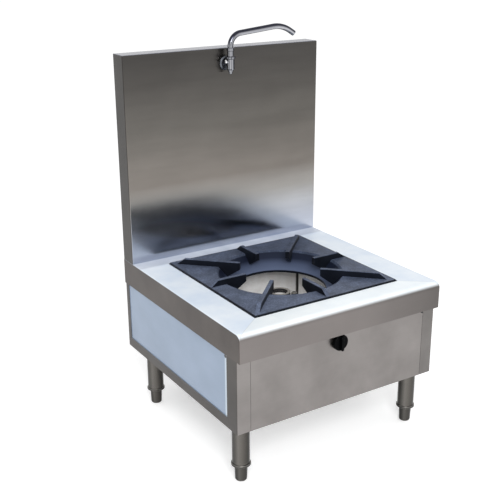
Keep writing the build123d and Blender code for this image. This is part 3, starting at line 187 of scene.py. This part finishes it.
def brushed_steel(name, front, side, top, rough, top_metallic=1.0):
    """Stainless sheet brushed across the stove. Fine streaks vary its tone, gloss and height, and painted
    light and shade make the sheet paler or darker by the way it faces: front, side and top are lit and shaded
    copies.
    Front, side and top are each a pair of hex tones, or a function that draws its colour from the tree."""
    streak_length, streak_width = 80 * MM, 1.1 * MM
    material, tree, surface = new_material(name, {"Metallic": 1.0})
    streaks = stretched_noise(tree, (1 / streak_length, 1 / streak_width, 1 / streak_width))
    clouds = even_noise(tree, 120)

    def finish(tones):
        return tones(tree) if callable(tones) else toned(tree, clouds, *tones)

    upright = zoned(tree, facing(tree, "X"), BEND, finish(front), finish(side))
    upright = varied(tree, varied(tree, upright, streaks, 0.93, 1.07), clouds, 0.9, 1.1)
    upward = facing(tree, "Z")
    tree.links.new(zoned(tree, upward, BEND, upright, finish(top)), surface.inputs["Base Color"])
    if top_metallic < 1.0:
        metallic = add_node(tree, "ShaderNodeMapRange", {
            "Value": upward, "From Min": BEND[0], "From Max": BEND[1], "To Min": 1.0, "To Max": top_metallic,
        }, interpolation_type="SMOOTHSTEP")
        tree.links.new(metallic.outputs["Result"], surface.inputs["Metallic"])
    fine = add_node(tree, "ShaderNodeMapRange", {
        "Value": streaks, "To Min": rough - 0.05, "To Max": rough + 0.05}).outputs["Result"]
    broad = add_node(tree, "ShaderNodeMapRange", {
        "Value": clouds, "To Min": -0.04, "To Max": 0.04}).outputs["Result"]
    gloss = add_node(tree, "ShaderNodeMath", {0: fine, 1: broad}, operation="ADD")
    tree.links.new(gloss.outputs["Value"], surface.inputs["Roughness"])
    relief = add_node(tree, "ShaderNodeBump", {"Height": streaks, "Strength": 0.03, "Distance": 0.2 * MM})
    tree.links.new(relief.outputs["Normal"], surface.inputs["Normal"])
    return material


def draw_sideways(material, amount):
    """Smears a material's reflections along the stove's width."""
    tree = material.node_tree
    surface = tree.nodes["Principled BSDF"]
    surface.inputs["Anisotropic"].default_value = amount
    sideways = add_node(tree, "ShaderNodeCombineXYZ", {"X": 1.0})
    tree.links.new(sideways.outputs["Vector"], surface.inputs["Tangent"])


def worktop_top(tree):
    """Top of the worktop, painted pale with light from overhead: the front strip is brushed across and looks
    whitest, the side strips are brushed from front to rear and look bluer, and a ground weld runs along each
    mitre between them. Painted shade darkens the side strips towards the right, and the rear strip carries
    painted shade and reflection from the splashback."""
    side_strip = (250 * MM, 350 * MM)
    front_strip = (-270 * MM, -350 * MM)
    rear_strip = (225 * MM, 240 * MM)
    weld_share = 0.03
    across, along = coordinate(tree, "X"), coordinate(tree, "Y")
    aside = add_node(tree, "ShaderNodeMath", {0: across}, operation="ABSOLUTE").outputs["Value"]
    # Each strip counts from 0 at the recess to 1 at the worktop's edge. On a mitre both counts are equal.
    past_side, past_front = (
        add_node(tree, "ShaderNodeMapRange", {
            "Value": source, "From Min": strip[0], "From Max": strip[1]}, clamp=False).outputs["Result"]
        for source, strip in ((aside, side_strip), (along, front_strip))
    )
    beyond = add_node(
        tree, "ShaderNodeMath", {0: past_side, 1: past_front}, operation="SUBTRACT").outputs["Value"]
    clouds = even_noise(tree, 90)
    side = toned(tree, clouds, "d6e2f1", "eaf1f8")
    # Painted shade: the side strips grow darker towards the stove's right.
    side = varied(tree, side, across, 1.0, 0.93, (-side_strip[0], side_strip[0]))
    strips = zoned(tree, beyond, (-0.015, 0.015), toned(tree, clouds, "e2eaf0", "eff4f6"), side)
    # Painted shade and reflection from the splashback: the rear strip is darker and greyer.
    strips = zoned(tree, along, rear_strip, strips, toned(tree, clouds, "b4bccb", "d3d9e3"))
    off_mitre = add_node(tree, "ShaderNodeMath", {0: beyond}, operation="ABSOLUTE").outputs["Value"]
    seam = add_node(tree, "ShaderNodeMapRange", {
        "Value": off_mitre, "From Max": weld_share, "To Min": 1.0, "To Max": 0.0,
    }, interpolation_type="SMOOTHSTEP").outputs["Result"]
    on_strip = add_node(
        tree, "ShaderNodeMath", {0: past_front, 1: 0.0}, operation="GREATER_THAN").outputs["Value"]
    weld = add_node(tree, "ShaderNodeMath", {0: seam, 1: on_strip}, operation="MULTIPLY").outputs["Value"]
    return varied(tree, strips, weld, 1.0, 0.86)


def apron_front(tree):
    """Front apron: painted shade makes its sheet a little darker towards its right end."""
    return tones_along(tree, coordinate(tree, "X"), ((-350, "7b7674"), (50, "7b7674"), (350, "65615f")))


def splash_front(tree):
    """Front of the splashback: a painted reflection makes it pale and cool just over the worktop and darker
    towards its top, with broad soft streaks from the rolling that lie across it."""
    streaks = stretched_noise(tree, (1 / (420 * MM), 1.0, 1 / (55 * MM)))
    tones = tones_along(tree, coordinate(tree, "Z"), (
        (480, "b7bdcb"), (530, "acb1bd"), (590, "a4a6ab"), (650, "969491"), (720, "76716c"), (900, "65625e"),
        (1110, "4e4c4a"),
    ))
    return varied(tree, tones, streaks, 0.8, 1.2)


# Worktop: brushed stainless sheet. Its top is satin and painted pale with light from overhead, its aprons
# keep the plain grey grain under painted shade.
worktop_steel = brushed_steel(
    "worktop_brushed_stainless", front=apron_front, side=("4f4a48", "5b5653"), top=worktop_top, rough=0.4,
    top_metallic=0.1,
)

# Splashback: cold-rolled stainless, smoother than the top. It mirrors the pan support softly, and its rolling
# lines, which run up the sheet, draw what it mirrors out sideways. Its side carries painted shade and its top
# painted light.
splash_steel = brushed_steel(
    "splashback_rolled_stainless", front=splash_front, side=("353331", "3f3c3a"), top=("696b77", "7b7d89"),
    rough=0.2, top_metallic=0.5,
)
draw_sideways(splash_steel, 0.93)

# Body: brushed stainless panels and posts, their grain running across. Painted shade darkens their sides and
# painted light pales their tops.
body_steel = brushed_steel(
    "body_brushed_stainless", front=("7f7b79", "898583"), side=("474442", "514e4c"), top=("b4b8bc", "bec2c6"),
    rough=0.36,
)

# Right front post: the body's brushed sheet, painted a little darker with shade.
post_steel_painted_shade = brushed_steel(
    "post_stainless_painted_shade", front=("706d6b", "7a7775"), side=("474442", "514e4c"), top=("b4b8bc", "bec2c6"),
    rough=0.36,
)

# Legs: stainless tube, ground round the tube, with a painted reflection that is paler down its front than
# along its edges.
leg_painted_reflection = tube_painted_reflection("575450", "302f2d", "4f4d4a", "6e6b67", "605d59", "4a4845", "2d2c2a", "575450")
leg_steel = brushed_steel(
    "leg_ground_stainless", front=leg_painted_reflection, side=leg_painted_reflection, top=("7a7875", "848280"), rough=0.24,
)

# Feet and the collars over them: turned stainless, darker and duller than the tube, with the same kind of
# painted reflection round them.
foot_painted_reflection = tube_painted_reflection("45433f", "272625", "3a3937", "5c5a57", "504e4b", "42403e", "272625", "45433f")
foot_steel = brushed_steel(
    "foot_turned_stainless", front=foot_painted_reflection, side=foot_painted_reflection, top=("7e7c79", "8a8885"), rough=0.3,
)

# Galvanised steel: dull zinc, its large flat crystals each a slightly different grey.
galvanised, tree, surface = new_material("galvanised_steel", {"Metallic": 1.0})
place = add_node(tree, "ShaderNodeTexCoord").outputs["Object"]
spangle = add_node(tree, "ShaderNodeTexVoronoi", {"Vector": place, "Scale": 1 / (11 * MM)})
crystal = add_node(tree, "ShaderNodeSeparateXYZ", {"Vector": spangle.outputs["Color"]}).outputs["X"]
tree.links.new(toned(tree, crystal, "9a9da0", "a6a9ab"), surface.inputs["Base Color"])
roughened(tree, surface, crystal, 0.42, 0.52)

# Protective film: thin pale blue polyethylene left on the side sheet, satin with slight ripples. Its front
# edge is folded back double and looks paler, and one corner of it carries a dark brown spot of painted shade
# where a small gap opens.
FOLD = (-267.5 * MM, -269 * MM)
GAP_SHADE_CORNER = (0.0, -271 * MM, 392 * MM)
GAP_SHADE_EDGE = (6.5 * MM, 4 * MM)
film, tree, surface = new_material("side_protective_film", {"Roughness": 0.38, "Coat Weight": 0.15})
ripple = stretched_noise(tree, (9.0, 5.0, 9.0), detail=3.0)
film_tone = zoned(tree, coordinate(tree, "Y"), FOLD,
                  toned(tree, ripple, "8495ab", "91a2b9"), toned(tree, ripple, "bccad8", "cbd6e0"))
place = add_node(tree, "ShaderNodeTexCoord").outputs["Object"]
in_sheet = add_node(tree, "ShaderNodeVectorMath", {0: place, 1: (0.0, 1.0, 1.0)}, operation="MULTIPLY")
away = add_node(tree, "ShaderNodeVectorMath", {
    0: in_sheet.outputs["Vector"], 1: GAP_SHADE_CORNER}, operation="DISTANCE").outputs["Value"]
film_tone = zoned(tree, away, GAP_SHADE_EDGE, film_tone, toned(tree, ripple, "1c181a", "2c2729"))
tree.links.new(film_tone, surface.inputs["Base Color"])
relief = add_node(tree, "ShaderNodeBump", {"Height": ripple, "Strength": 0.15, "Distance": 1.5 * MM})
tree.links.new(relief.outputs["Normal"], surface.inputs["Normal"])


def cast_iron(name, level, upright, rough, sheen):
    """Sand-cast iron: a fine sandy skin with soft blotches. Painted light makes its level faces paler, and
    painted shade its upright faces darker. Level is a pair of hex tones, or a function that draws its colour
    from the tree and the blotches."""
    material, tree, surface = new_material(name, {
        "Specular IOR Level": 0.35, "Specular Tint": linear(sheen)})
    skin = even_noise(tree, 1.6, detail=5.0, roughness=0.65)
    blotch = even_noise(tree, 45)
    level_with_painted_light = level(tree, blotch) if callable(level) else toned(tree, blotch, *level)
    colour = zoned(tree, facing(tree, "Z"), BEND, toned(tree, blotch, *upright), level_with_painted_light)
    tree.links.new(colour, surface.inputs["Base Color"])
    roughened(tree, surface, skin, rough - 0.08, rough + 0.1)
    relief = add_node(tree, "ShaderNodeBump", {"Height": skin, "Strength": 0.35, "Distance": 0.5 * MM})
    tree.links.new(relief.outputs["Normal"], surface.inputs["Normal"])
    return material


def support_coat(tree, blotch):
    """Coat of the pan support, with painted light and shade: paler towards the front left, painted dark at
    the top and the lip of the bowl, and black with painted shade in the gap along the plate's edge."""
    plate_edge = (245.5 * MM, 247 * MM)
    plate_top = (477 * MM, 480 * MM)
    place = add_node(tree, "ShaderNodeTexCoord").outputs["Object"]
    to_rear_right = add_node(tree, "ShaderNodeVectorMath", {
        0: place, 1: (1.0, 1.0, 0.0)}, operation="DOT_PRODUCT").outputs["Value"]
    # Painted light: paler towards the front left, darker towards the rear right.
    top = zoned(tree, to_rear_right, (-350 * MM, 350 * MM),
                toned(tree, blotch, "464d5c", "5a6377"), toned(tree, blotch, "303746", "434c60"))
    top = varied(tree, top, even_noise(tree, 4.5, roughness=0.7), 0.86, 1.5, (0.42, 0.66))
    # Painted shade: black at the bowl's mouth, dark under its rim, with a paler band between.
    bowl = tones_along(tree, coordinate(tree, "Z"), (
        (418, "050607"), (430, "08090b"), (433, "5b6680"), (450, "4a546c"), (464, "181e2f"), (479, "121726"),
    ))
    coat = zoned(tree, coordinate(tree, "Z"), plate_top, bowl, top)
    distance = from_firebox_middle(tree)
    outermost = add_node(tree, "ShaderNodeMath", {0: distance["X"], 1: distance["Y"]}, operation="MAXIMUM")
    # Painted shade: the gap between the plate's edge and the worktop.
    plate_gap_shade = toned(tree, blotch, "06070a", "0c0e13")
    return zoned(tree, outermost.outputs["Value"], plate_edge, coat, plate_gap_shade)


# Pan support: sand-cast iron under a baked blue-black coat, with a low sheen on its level faces, which
# painted light also makes paler, and painted shade on its upright faces.
support_iron = cast_iron("pan_support_coated_iron", support_coat, ("07090d", "10131a"), 0.5, "a9b5d6")
# Burner: cast iron, its level faces paled by painted light and its upright faces darkened by painted shade.
burner_iron = cast_iron("burner_cast_iron", ("75736f", "8a8782"), ("1e1e20", "2a292b"), 0.62, "ffffff")

# Firebox wall: plain mill-finish sheet, pale and matt, mottled by heat, with painted shade in its upright
# corners.
CORNER_PAINTED_SHADE = (223 * MM, 228 * MM)
liner, tree, surface = new_material("firebox_mill_finish", {"Roughness": 0.55})
stain = stretched_noise(tree, (34.0, 34.0, 46.0), detail=7.0, roughness=0.7)
distance = from_firebox_middle(tree)
innermost = add_node(tree, "ShaderNodeMath", {0: distance["X"], 1: distance["Y"]}, operation="MINIMUM")
liner_tone = zoned(tree, innermost.outputs["Value"], CORNER_PAINTED_SHADE,
                   toned(tree, stain, "ece9e6", "ffffff"), toned(tree, stain, "2c2a28", "4a4743"))
tree.links.new(liner_tone, surface.inputs["Base Color"])

# Chrome: bright plate over brass with faint polishing haze. A painted reflection of a room lies in its
# colour:
# nearly black on its upper side, and in upright streaks of light and dark round its sides, by the way each
# point of it faces.
chrome, tree, surface = new_material("chrome_plate", {"Metallic": 1.0})
haze = even_noise(tree, 9)
streaks = round_upright(tree, (
    (-1.0, "9a9ba0"), (-0.92, "2a2c32"), (-0.8, "5c5e65"), (-0.55, "a8a9ae"), (-0.25, "3c3e45"),
    (-0.05, "dcdde1"), (0.1, "55575e"), (0.4, "b4b5ba"), (0.55, "9a9ba1"), (0.8, "2c2e35"), (0.92, "232529"),
    (1.0, "9a9ba0"),
))
room_reflection_painted = zoned(tree, pointing(tree, "Z"), (-0.05, 0.4), streaks, toned(tree, haze, "2b2c36", "3a3b46"))
tree.links.new(varied(tree, room_reflection_painted, haze, 0.92, 1.08), surface.inputs["Base Color"])
roughened(tree, surface, haze, 0.05, 0.13)

# Knob: moulded black thermoset with a satin face.
knob_plastic, tree, surface = new_material("knob_moulded_black", {"Specular IOR Level": 0.04})
grain = even_noise(tree, 0.8, detail=2.0)
tree.links.new(toned(tree, grain, "020203", "040506"), surface.inputs["Base Color"])
roughened(tree, surface, grain, 0.45, 0.58)


def small_metal(name, dark, light, smoothest, roughest, mark_size=2):
    """Small turned, drawn or plated metal pieces: an even tone with fine marks of one size in millimetres."""
    material, tree, surface = new_material(name, {"Metallic": 1.0})
    marks = even_noise(tree, mark_size)
    tree.links.new(toned(tree, marks, dark, light), surface.inputs["Base Color"])
    roughened(tree, surface, marks, smoothest, roughest)
    return material


# Wall rosette of the tap: its plate is duller and painted dark with shade. Side plug: polished, painted
# bright with a highlight.
rosette_metal = small_metal("rosette_plate_painted_shade", "5c5f66", "6c6f75", 0.25, 0.4, mark_size=5)
plug_metal = small_metal("plug_plate_painted_highlight", "dfe0e2", "ededee", 0.1, 0.18, mark_size=5)
# Unions, pipes and bolts: bare or zinc-plated metal, each with the tone and the gloss of its kind.
brass = small_metal("turned_brass", "b8924a", "c9a55c", 0.25, 0.38)
copper = small_metal("drawn_copper", "b06b4a", "c07c58", 0.27, 0.4)
zinc = small_metal("zinc_plated_steel", "a3a4a2", "b6b7b4", 0.3, 0.43)
pipe_steel = small_metal("plain_pipe_steel", "5c5b59", "6c6a67", 0.4, 0.53)


def cross_head_screws(node, columns, rows):
    """Zinc-plated screws, their heads in a grid on the rear, each with a painted cross recess whose dark
    inside is painted shade.
    """
    head_radius = 4.5 * MM
    recess_half_width = (0.55 * MM, 0.4 * MM)
    recess_half_length = (2.5 * MM, 2.3 * MM)
    material, tree, surface = new_material(f"{node}_zinc_plated", {"Metallic": 1.0})
    low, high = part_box(node)
    # How far a point lies from the middle of the nearest screw, across and up: the two inputs of a Math node.
    off_centre = {}
    for socket, (axis, index, count) in enumerate((("X", 0, columns), ("Z", 2, rows))):
        first = low[index] + head_radius
        pitch = (high[index] - low[index] - 2 * head_radius) / (count - 1)
        place = coordinate(tree, axis)
        from_first = add_node(tree, "ShaderNodeMath", {0: place, 1: first}, operation="SUBTRACT")
        off_centre[socket] = add_node(tree, "ShaderNodeMath", {
            0: from_first.outputs["Value"], 1: pitch / 2}, operation="PINGPONG").outputs["Value"]
    nearer = add_node(tree, "ShaderNodeMath", off_centre, operation="MINIMUM").outputs["Value"]
    farther = add_node(tree, "ShaderNodeMath", off_centre, operation="MAXIMUM").outputs["Value"]
    marks = even_noise(tree, 2)
    head = toned(tree, marks, "a3a4a2", "b6b7b4")
    # Painted shade: the dark inside of each painted cross recess.
    recess = zoned(tree, farther, recess_half_length, head, toned(tree, marks, "2a2a2a", "3a3a39"))
    tree.links.new(zoned(tree, nearer, recess_half_width, head, recess), surface.inputs["Base Color"])
    roughened(tree, surface, marks, 0.3, 0.43)
    return material


slot_materials = {
    "stainless_sheet": body_steel,
    "film_covered_sheet": film,
    "galvanised_steel": galvanised,
    "liner_steel": liner,
    "stainless_tube": leg_steel,
    "cast_iron": support_iron,
    "burner_iron": burner_iron,
    "chrome": chrome,
    "black_plastic": knob_plastic,
    "stainless_foot": foot_steel,
    "brass": brass,
    "copper": copper,
    "zinc_steel": zinc,
    "pipe_steel": pipe_steel,
}
node_materials = {
    "worktop": worktop_steel,
    "front_right_post": post_steel_painted_shade,
    "splash_shell": splash_steel,
    "leg_inserts": foot_steel,
    "tap_rosette": rosette_metal,
    "tap_side_plug": plug_metal,
    "splash_cover_screws": cross_head_screws("splash_cover_screws", 2, 4),
    "rear_panel_screws": cross_head_screws("rear_panel_screws", 2, 2),
}


def dress_cad_nodes():
    """Gives each node of the frame its finish: its own one, or else the one of its material slot."""
    for part in frame["record"]["subparts"]:
        node = frame["nodes"][part["node"]]
        material = node_materials.get(part["node"], slot_materials[part["material_slot"]])
        node.data.materials.clear()
        node.data.materials.append(material)


dress_cad_nodes()


def start_piece(add_shape, **settings):
    """Adds a starting shape as the only selected object, and goes into its mesh."""
    bpy.ops.object.select_all(action="DESELECT")
    add_shape(**settings)
    bpy.ops.object.mode_set(mode="EDIT")
    bpy.ops.mesh.select_mode(type="VERT")
    bpy.ops.mesh.select_all(action="SELECT")


def finish_piece(name, body, finish, turn, place):
    """Closes the piece's normals, puts its place into its mesh, and ties it to a body and a finish."""
    bpy.ops.mesh.select_all(action="SELECT")
    bpy.ops.mesh.normals_make_consistent(inside=False)
    bpy.ops.object.mode_set(mode="OBJECT")
    piece = bpy.context.object
    piece.name = name
    piece.rotation_euler = [radians(angle) for angle in turn]
    piece.location = [value * MM for value in place]
    bpy.ops.object.transform_apply(location=True, rotation=True, scale=True)
    bpy.ops.object.shade_smooth_by_angle(angle=radians(40))
    piece.data.materials.append(finish)
    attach(piece, body)


# Half-inch male pipe thread, 14 turns to the inch. The inlets' plain cylinders have its outer radius.
THREAD_PITCH = 1.814 * MM
INLET_RADIUS = 10.48
RIDGE_HEIGHT = 0.15
RIDGE_SEAT = 0.02
BORE_SHARE = 0.97


def pipe_thread(name, length, turn, place):
    """Male pipe thread: one low sharp ridge for each turn, closed on its inner side."""
    turns = int(length * MM / THREAD_PITCH)
    crest = (INLET_RADIUS + RIDGE_HEIGHT) / INLET_RADIUS
    start_piece(bpy.ops.mesh.primitive_circle_add, vertices=64, radius=(INLET_RADIUS - RIDGE_SEAT) * MM)
    for _ in range(turns):
        for factor in (crest, 1 / crest):
            bpy.ops.mesh.extrude_region_move(TRANSFORM_OT_translate={"value": (0, 0, THREAD_PITCH / 2)})
            bpy.ops.transform.resize(value=(factor, factor, 1))
    bpy.ops.mesh.extrude_region_move(TRANSFORM_OT_translate={"value": (0, 0, 0)})
    bpy.ops.transform.resize(value=(BORE_SHARE, BORE_SHARE, 1))
    bpy.ops.mesh.extrude_region_move(TRANSFORM_OT_translate={"value": (0, 0, -turns * THREAD_PITCH)})
    bpy.ops.mesh.select_all(action="DESELECT")
    bpy.ops.mesh.select_mode(type="EDGE")
    bpy.ops.mesh.select_non_manifold()
    bpy.ops.mesh.bridge_edge_loops()
    finish_piece(name, "body", brass, turn, place)


pipe_thread("gas_inlet_thread", 15.0, turn=(-90, 0, 0), place=(260.5, 330.4, 374))
pipe_thread("water_inlet_thread", 14.0, turn=(0, 0, 0), place=(0, 314, 189))


def looked_at(tree):
    """1 where the camera, a mirror or a clear surface shows a thing, and 0 where it only gives light."""
    seen = add_node(tree, "ShaderNodeLightPath").outputs
    direct = add_node(
        tree, "ShaderNodeMath", {0: seen["Is Camera Ray"], 1: seen["Is Glossy Ray"]}, operation="MAXIMUM")
    return add_node(tree, "ShaderNodeMath", {
        0: direct.outputs["Value"], 1: seen["Is Transmission Ray"]}, operation="MAXIMUM").outputs["Value"]


# Floor: a plain pale sheet, wide enough to fill the view. Where it is looked at it glows a little, which
# makes it white far out and leaves the stove's soft shadow.
FLOOR_LIFT = 0.3
FLOOR_WIDTH = 60.0
bpy.ops.object.select_all(action="DESELECT")
bpy.ops.mesh.primitive_plane_add(size=FLOOR_WIDTH, location=(0, 0, 0))
floor = bpy.context.object
floor.name = "floor"
floor_paint, tree, surface = new_material("floor_pale_paint", {
    "Roughness": 0.9, "Base Color": linear("f4f4f4"), "Emission Color": (1, 1, 1, 1)})
lift = add_node(tree, "ShaderNodeMapRange", {"Value": looked_at(tree), "To Min": 0.0, "To Max": FLOOR_LIFT})
tree.links.new(lift.outputs["Result"], surface.inputs["Emission Strength"])
floor.data.materials.append(floor_paint)


def area_light(name, place, aim, size, power):
    """A rectangular softbox at a place in metres, turned towards an aim point."""
    lamp = bpy.data.lights.new(name, "AREA")
    lamp.shape = "RECTANGLE"
    lamp.size, lamp.size_y = size
    lamp.energy = power
    holder = bpy.data.objects.new(name, lamp)
    holder.location = place
    holder.rotation_euler = (Vector(aim) - Vector(place)).to_track_quat("-Z", "Y").to_euler()
    bpy.context.scene.collection.objects.link(holder)


# The one lamp stands high to the front left, where it also lights the firebox walls through the pan support.
area_light("key_softbox", place=(-1.9, -3.75, 3.2), aim=(0, 0, 0.4), size=(2.0, 2.0), power=150)

# The studio's dome: brightest overhead, softer towards the horizon. Where it is looked at it is white.
HORIZON_LEVEL = 0.45
ZENITH_LEVEL = 1.0
world = bpy.data.worlds.new("studio")
bpy.context.scene.world = world
world.use_nodes = True
dome = world.node_tree
backdrop = dome.nodes["Background"]
direction = add_node(dome, "ShaderNodeTexCoord").outputs["Generated"]
elevation = add_node(dome, "ShaderNodeSeparateXYZ", {"Vector": direction}).outputs["Z"]
level = add_node(dome, "ShaderNodeMapRange", {
    "Value": elevation, "To Min": HORIZON_LEVEL, "To Max": ZENITH_LEVEL}).outputs["Result"]
seen_level = add_node(dome, "ShaderNodeMath", {0: level, 1: looked_at(dome)}, operation="MAXIMUM")
dome.links.new(seen_level.outputs["Value"], backdrop.inputs["Strength"])
backdrop.inputs["Color"].default_value = (1, 1, 1, 1)

# Camera: its place in millimetres, its lens and its angles in degrees were solved from the photograph's own
# straight edges. It looks to the right and down, and is rolled by a third of a degree.
CAMERA_PLACE = (-1431.4, -2117.3, 1449.1)
CAMERA_LENS = 63.9
CAMERA_HEADING = -32.26
CAMERA_DOWNWARD = 19.47
CAMERA_ROLL = -0.32
camera_data = bpy.data.cameras.new("camera")
camera_data.sensor_width = 36.0
camera_data.lens = CAMERA_LENS
camera = bpy.data.objects.new("camera", camera_data)
bpy.context.scene.collection.objects.link(camera)
camera_turn = (
    Matrix.Rotation(radians(CAMERA_HEADING), 4, "Z")
    @ Matrix.Rotation(radians(90 - CAMERA_DOWNWARD), 4, "X")
    @ Matrix.Rotation(radians(CAMERA_ROLL), 4, "Z")
)
camera.matrix_world = Matrix.Translation(Vector(CAMERA_PLACE) * MM) @ camera_turn
bpy.context.scene.camera = camera
bpy.context.scene.view_settings.view_transform = "Standard"
